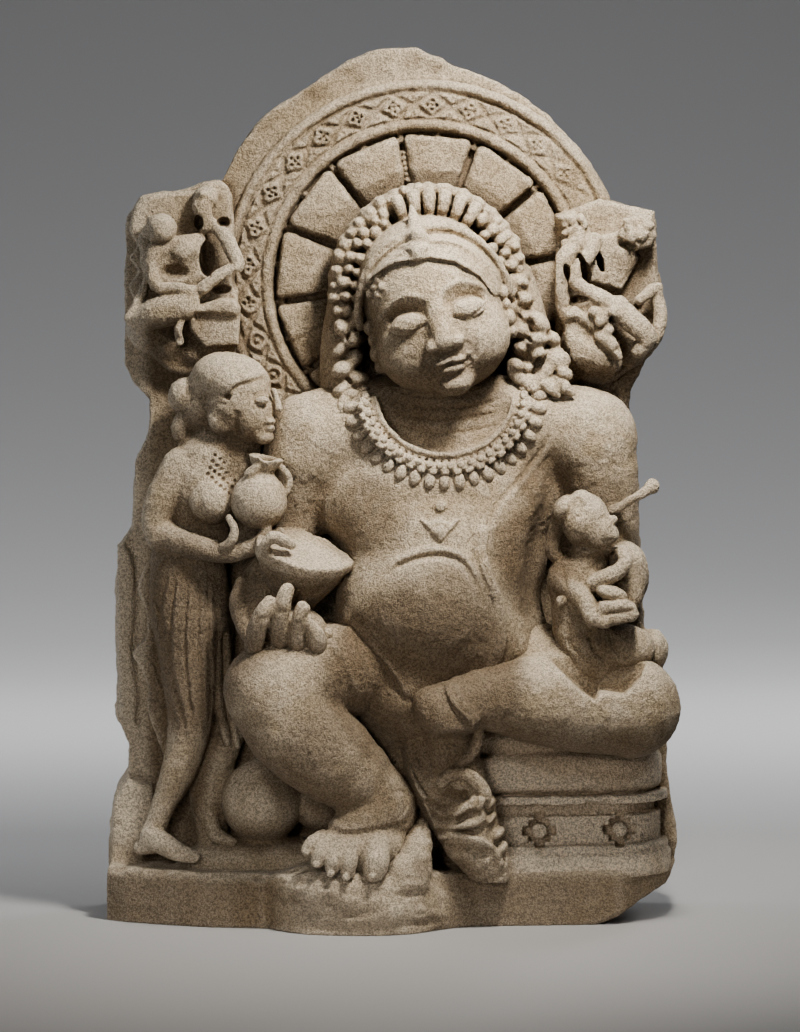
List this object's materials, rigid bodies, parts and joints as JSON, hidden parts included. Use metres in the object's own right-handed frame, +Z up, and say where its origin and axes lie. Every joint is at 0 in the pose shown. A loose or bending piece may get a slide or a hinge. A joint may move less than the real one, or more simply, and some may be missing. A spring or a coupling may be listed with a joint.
{
  "type": "kubera stele",
  "caption": "Carved sandstone stele of a seated pot-bellied lord before an arched slab with a petalled halo and attendants; stands on its flat underside.",
  "frame": {"origin": "middle of the flat underside, at the centre of the block's bounding box in plan", "axes": "+Z up, the carved face looks towards -Y, +X to the viewer's right"},
  "size_m": [0.647, 0.25, 0.976],
  "materials": {
    "sandstone": "weathered warm grey-beige sandstone, fine grained and pitted, with brown patina in the recesses, ochre patches on the rough edges and pale fresh chips on the base"
  },
  "bodies": {
    "root": {"stele": "sandstone"}
  },
  "joints": []
}
